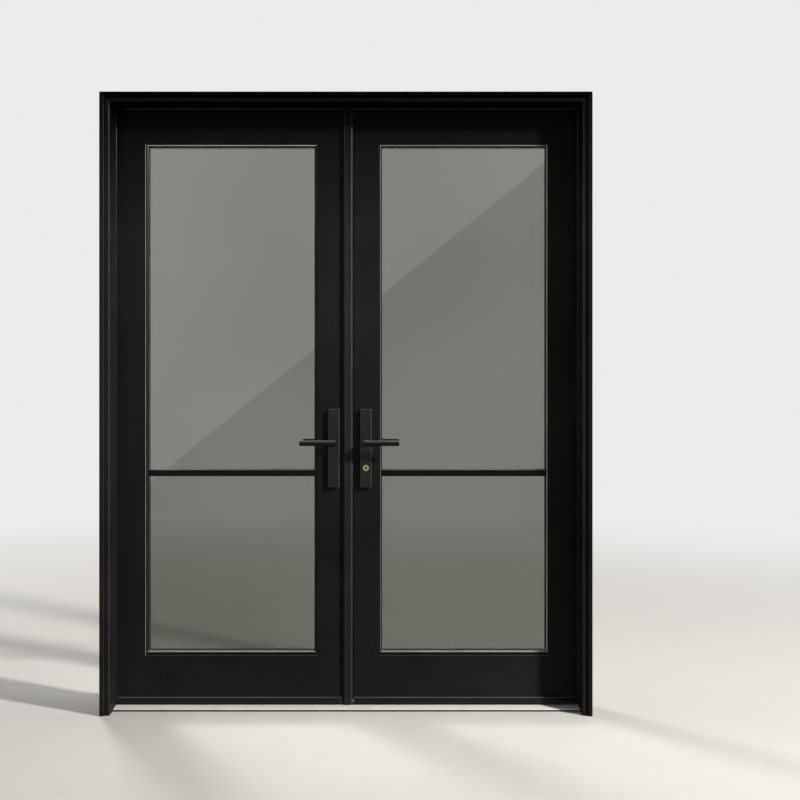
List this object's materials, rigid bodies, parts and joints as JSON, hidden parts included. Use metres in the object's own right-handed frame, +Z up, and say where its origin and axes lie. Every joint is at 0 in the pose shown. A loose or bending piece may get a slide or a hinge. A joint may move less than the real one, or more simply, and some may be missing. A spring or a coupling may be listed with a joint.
{
  "type": "inswing french doors in frame",
  "caption": "Pair of inward-opening black glazed doors in a stepped frame with an aluminium sill, an astragal, lever handles on tall plates and a key cylinder.",
  "frame": {"origin": "on the underside of the sill, in the middle of the frame's width and of the jambs' depth", "axes": "+Z up, +Y into the building, +X to the right seen from outside"},
  "size_m": [1.934, 0.244, 2.449],
  "materials": {
    "black_paint": "satin black paint on the leaves",
    "frame_paint": "satin black paint on the frame",
    "bead_plastic": "satin black",
    "spacer_plastic": "dull black",
    "clear_glass": "clear",
    "black_rubber": "dull",
    "sill_plastic": "dull dark grey",
    "sill_aluminium": "mill finish",
    "hinge_metal": "satin black",
    "handle_metal": "satin black powder coat",
    "lock_steel": "satin",
    "brass": "satin"
  },
  "bodies": {
    "frame": {"left_jamb": "frame_paint", "right_jamb": "frame_paint", "head_jamb": "frame_paint", "stop_strips": "frame_paint", "left_weatherstrip": "black_rubber", "right_weatherstrip": "black_rubber", "head_weatherstrip": "black_rubber", "sill_base": "sill_plastic", "sill_deck": "sill_aluminium", "sill_cap": "sill_plastic", "shoot_bolt_strikes": "lock_steel", "frame_hinges": "hinge_metal", "hinge_pins": "hinge_metal"},
    "passive_leaf": {"passive_hinge_stile": "black_paint", "passive_lock_stile": "black_paint", "passive_top_rail": "black_paint", "passive_bottom_rail": "black_paint", "passive_outer_beads": "bead_plastic", "passive_inner_beads": "bead_plastic", "passive_glazing_bars": "bead_plastic", "passive_panes": "clear_glass", "passive_pane_spacer": "spacer_plastic", "passive_sweep_seal": "black_rubber", "passive_leaf_hinges": "hinge_metal", "passive_outer_plate": "handle_metal", "passive_inner_plate": "handle_metal", "passive_drip_strip": "black_paint", "passive_lock_case": "lock_steel", "astragal": "black_paint", "astragal_strike": "lock_steel", "meeting_seal": "black_rubber"},
    "active_leaf": {"active_hinge_stile": "black_paint", "active_lock_stile": "black_paint", "active_top_rail": "black_paint", "active_bottom_rail": "black_paint", "active_outer_beads": "bead_plastic", "active_inner_beads": "bead_plastic", "active_glazing_bars": "bead_plastic", "active_panes": "clear_glass", "active_pane_spacer": "spacer_plastic", "active_sweep_seal": "black_rubber", "active_leaf_hinges": "hinge_metal", "active_outer_plate": "handle_metal", "active_inner_plate": "handle_metal", "active_drip_strip": "black_paint", "active_lock_case": "lock_steel", "active_faceplate": "lock_steel", "key_cylinder": "brass"},
    "passive_levers": {"passive_outer_lever": "handle_metal", "passive_inner_lever": "handle_metal", "passive_spindle": "lock_steel"},
    "active_levers": {"active_outer_lever": "handle_metal", "active_inner_lever": "handle_metal", "active_spindle": "lock_steel"},
    "top_shoot_bolt": {"top_shoot_bolt": "lock_steel"},
    "bottom_shoot_bolt": {"bottom_shoot_bolt": "lock_steel"},
    "latch": {"latch_bolt": "lock_steel"},
    "deadbolt": {"deadbolt": "lock_steel"},
    "deadbolt_turn": {"key_plug": "brass", "thumbturn": "handle_metal"}
  },
  "joints": [
    {"name": "passive_leaf_swing", "type": "hinge", "parent": "frame", "child": "passive_leaf", "pos_m": [-0.9415, 0.0897, 1.222], "axis": [0, 0, 1], "range_deg": [0, 170]},
    {"name": "active_leaf_swing", "type": "hinge", "parent": "frame", "child": "active_leaf", "pos_m": [0.9415, 0.0897, 1.222], "axis": [0, 0, -1], "range_deg": [0, 170]},
    {"name": "passive_levers_lift", "type": "hinge", "parent": "passive_leaf", "child": "passive_levers", "pos_m": [-0.053, 0.061, 1.068], "axis": [0, 1, 0], "range_deg": [0, 45]},
    {"name": "active_levers_press", "type": "hinge", "parent": "active_leaf", "child": "active_levers", "pos_m": [0.076, 0.061, 1.068], "axis": [0, 1, 0], "range_deg": [0, 45], "stiffness_Nm_per_rad": 1.5, "springref_deg": -45.84},
    {"name": "top_shoot_bolt_slide", "type": "slide", "parent": "passive_leaf", "child": "top_shoot_bolt", "axis": [0, 0, 1], "range_m": [0, 0.02]},
    {"name": "bottom_shoot_bolt_slide", "type": "slide", "parent": "passive_leaf", "child": "bottom_shoot_bolt", "axis": [0, 0, -1], "range_m": [0, 0.02]},
    {"name": "latch_slide", "type": "slide", "parent": "active_leaf", "child": "latch", "axis": [-1, 0, 0], "range_m": [0, 0.011]},
    {"name": "deadbolt_turn", "type": "hinge", "parent": "active_leaf", "child": "deadbolt_turn", "pos_m": [0.076, 0.061, 0.966], "axis": [0, 1, 0], "range_deg": [0, 90]},
    {"name": "deadbolt_slide", "type": "slide", "parent": "active_leaf", "child": "deadbolt", "axis": [-1, 0, 0], "range_m": [0, 0.02]}
  ],
  "couplings": [
    {"joint": "top_shoot_bolt_slide", "follows": "passive_levers_lift", "m_per_rad": 0.02546},
    {"joint": "bottom_shoot_bolt_slide", "follows": "passive_levers_lift", "m_per_rad": 0.02546},
    {"joint": "deadbolt_turn", "follows": "deadbolt_slide", "rad_per_m": 78.53}
  ]
}
